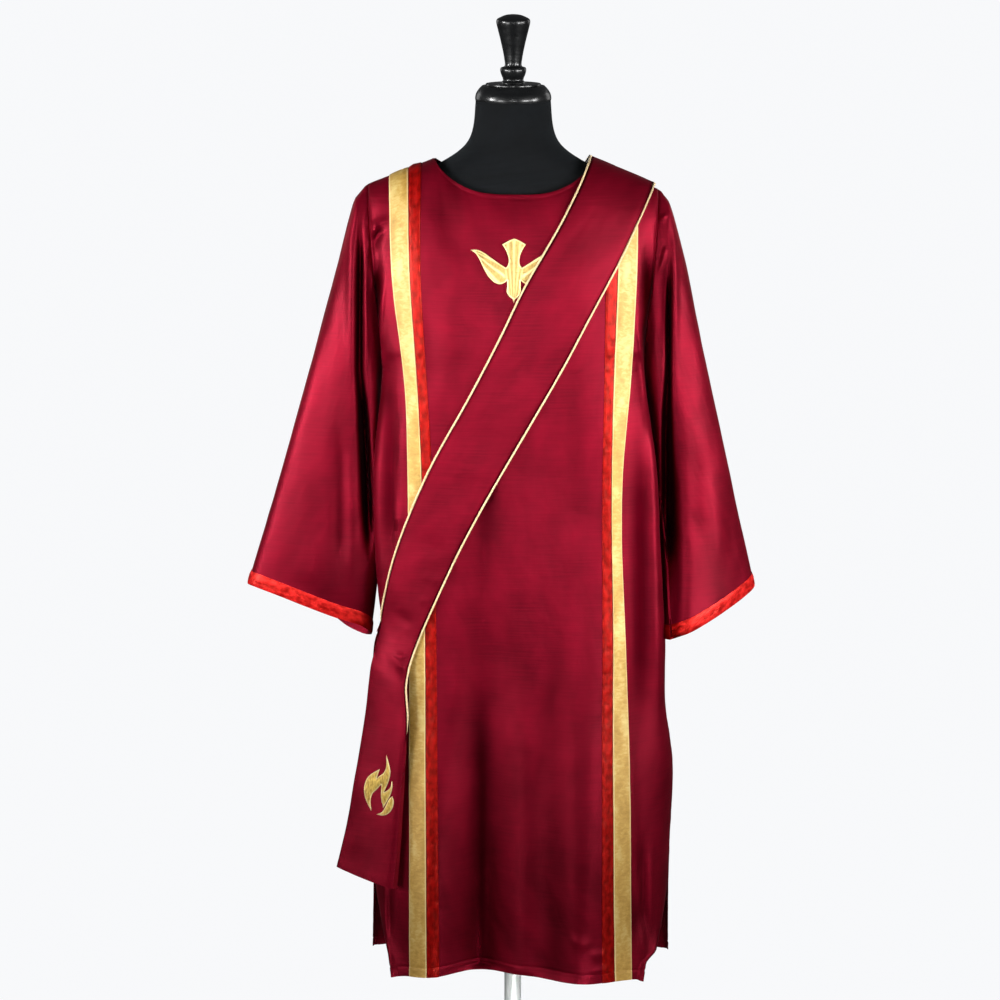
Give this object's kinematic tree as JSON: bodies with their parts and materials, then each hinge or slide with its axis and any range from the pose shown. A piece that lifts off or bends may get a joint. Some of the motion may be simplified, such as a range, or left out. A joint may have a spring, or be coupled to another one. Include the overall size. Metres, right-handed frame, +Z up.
{
  "type": "dalmatic with matching stole on a dress form stand",
  "caption": "Worn deacon's vestment with wide open sleeves, side slits, vertical bands and a diagonal stole, filled out by a limbless dress form on a pole and round base.",
  "frame": {"origin": "on the floor under the pole, at the middle of the base's underside", "axes": "+Z up, -Y out of the garment's front, +X to the right as seen from the front, which is the wearer's left"},
  "size_m": [0.7887, 0.34, 1.7041],
  "materials": {
    "maroon_satin": "satin weave with a soft sheen",
    "gold_brocade": "mottled metallic brocade",
    "red_satin": "glossy satin ribbon",
    "gold_cord": "twisted cord",
    "gold_embroidery": "satin-stitched rayon thread",
    "black_jersey": "matte jersey",
    "black_lacquer": "gloss",
    "chrome": "polished"
  },
  "bodies": {
    "root": {"centre_front": "maroon_satin", "side_left_front": "maroon_satin", "side_right_front": "maroon_satin", "centre_back": "maroon_satin", "side_left_back": "maroon_satin", "side_right_back": "maroon_satin", "sleeve_left": "maroon_satin", "sleeve_right": "maroon_satin", "stole_front": "maroon_satin", "stole_front_end": "maroon_satin", "stole_back": "maroon_satin", "stole_back_end": "maroon_satin", "gold_band_left_front": "gold_brocade", "gold_band_left_back": "gold_brocade", "gold_band_right_front": "gold_brocade", "gold_band_right_back": "gold_brocade", "red_band_left_front": "red_satin", "red_band_left_back": "red_satin", "red_band_right_front": "red_satin", "red_band_right_back": "red_satin", "cuff_band_left": "red_satin", "cuff_band_right": "red_satin", "piping_front_neck": "gold_cord", "piping_front_arm": "gold_cord", "piping_back_neck": "gold_cord", "piping_back_arm": "gold_cord", "dove": "gold_embroidery", "flame": "gold_embroidery", "form_torso": "black_jersey", "neck_cap": "black_lacquer", "neck_plate": "black_lacquer", "finial": "black_lacquer", "pole": "chrome", "base": "chrome"}
  },
  "joints": []
}
